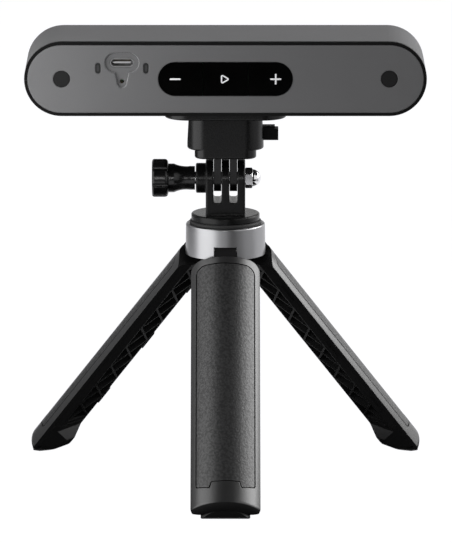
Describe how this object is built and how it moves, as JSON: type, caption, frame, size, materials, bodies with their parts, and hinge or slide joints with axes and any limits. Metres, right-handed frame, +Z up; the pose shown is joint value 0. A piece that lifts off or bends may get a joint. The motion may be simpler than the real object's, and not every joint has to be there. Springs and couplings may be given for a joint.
{
  "type": "tripod-mounted three-d scanner",
  "caption": "Bar-shaped hand-held 3D scanner with round ends and rear keys, on a tilting head over a mini tripod whose legs fold into a grip.",
  "frame": {"origin": "middle of the part's footprint on the floor, under the three soles", "axes": "+Z up from the floor, +Y the way the scanner's cameras look, +X to the right seen from the rear keys"},
  "size_m": [0.153, 0.1361, 0.1711],
  "materials": {
    "grey_plastic": "satin moulded",
    "grip_grey": "fine leather grain",
    "leg_grey": "satin moulded",
    "black_plastic": "satin moulded",
    "gloss_black": "gloss",
    "black_rubber": "matte",
    "dark_glass": "coated",
    "lens_metal": "black anodised",
    "light_pipe": "frosted",
    "circuit_board": "solder mask",
    "chip_black": "moulded",
    "aluminium": "turned",
    "steel": "machined",
    "chrome": "polished",
    "brass": "machined"
  },
  "bodies": {
    "tripod": {"lower_fork": "black_plastic", "acorn_nut": "chrome", "top_pad": "black_rubber", "collar": "aluminium", "leg_hub": "black_plastic", "top_stud": "steel", "hinge_pins": "steel"},
    "head": {"main_shell": "grey_plastic", "rear_rim": "black_plastic", "rear_panel": "grey_plastic", "front_panel": "gloss_black", "cover_glasses": "dark_glass", "left_depth_camera": "lens_metal", "right_depth_camera": "lens_metal", "pattern_projector": "lens_metal", "colour_camera": "lens_metal", "fill_lights": "light_pipe", "optics_bracket": "aluminium", "main_board": "circuit_board", "board_chips": "chip_black", "cable_socket": "steel", "socket_tongue": "black_plastic", "lock_insert": "brass", "status_lights": "light_pipe", "key_switches": "chip_black", "screw_plugs": "black_rubber", "case_screws": "steel", "thread_insert": "brass", "mount_plate": "black_plastic", "plate_screw": "steel", "mount_block": "black_plastic", "latch_spring": "steel"},
    "thumb_screw": {"pivot_bolt": "steel", "thumb_knob": "black_plastic"},
    "latch": {"release_latch": "black_plastic"},
    "minus_button": {"minus_key": "gloss_black"},
    "play_button": {"play_key": "gloss_black"},
    "plus_button": {"plus_key": "gloss_black"},
    "front_leg": {"front_leg_core": "black_plastic", "front_leg_shell": "leg_grey", "front_leg_grip": "grip_grey", "front_leg_foot": "black_rubber"},
    "right_leg": {"right_leg_core": "black_plastic", "right_leg_shell": "leg_grey", "right_leg_grip": "grip_grey", "right_leg_foot": "black_rubber"},
    "left_leg": {"left_leg_core": "black_plastic", "left_leg_shell": "leg_grey", "left_leg_grip": "grip_grey", "left_leg_foot": "black_rubber"}
  },
  "joints": [
    {"name": "head_tilt", "type": "hinge", "parent": "tripod", "child": "head", "pos_m": [0, 0.01706, 0.11485], "axis": [1, 0, 0], "range_deg": [-90, 90]},
    {"name": "thumb_screw_turn", "type": "hinge", "parent": "tripod", "child": "thumb_screw", "pos_m": [0, 0.01706, 0.11485], "axis": [1, 0, 0], "continuous": true},
    {"name": "front_leg_fold", "type": "hinge", "parent": "tripod", "child": "front_leg", "pos_m": [0, 0.00456, 0.08894], "axis": [1, 0, 0], "range_deg": [0, 40]},
    {"name": "right_leg_fold", "type": "hinge", "parent": "tripod", "child": "right_leg", "pos_m": [0.01082, 0.02331, 0.08894], "axis": [-0.5, 0.866, 0], "range_deg": [0, 40]},
    {"name": "left_leg_fold", "type": "hinge", "parent": "tripod", "child": "left_leg", "pos_m": [-0.01082, 0.02331, 0.08894], "axis": [-0.5, -0.866, 0], "range_deg": [0, 40]},
    {"name": "minus_press", "type": "slide", "parent": "head", "child": "minus_button", "axis": [0, 1, 0], "range_m": [0, 0.0004], "stiffness_N_per_m": 600, "springref_m": -0.0005},
    {"name": "play_press", "type": "slide", "parent": "head", "child": "play_button", "axis": [0, 1, 0], "range_m": [0, 0.0004], "stiffness_N_per_m": 600, "springref_m": -0.0005},
    {"name": "plus_press", "type": "slide", "parent": "head", "child": "plus_button", "axis": [0, 1, 0], "range_m": [0, 0.0004], "stiffness_N_per_m": 600, "springref_m": -0.0005},
    {"name": "latch_push", "type": "slide", "parent": "head", "child": "latch", "axis": [-1, 0, 0], "range_m": [0, 0.002], "stiffness_N_per_m": 400, "springref_m": -0.0012, "deforming": ["latch_spring"]}
  ]
}
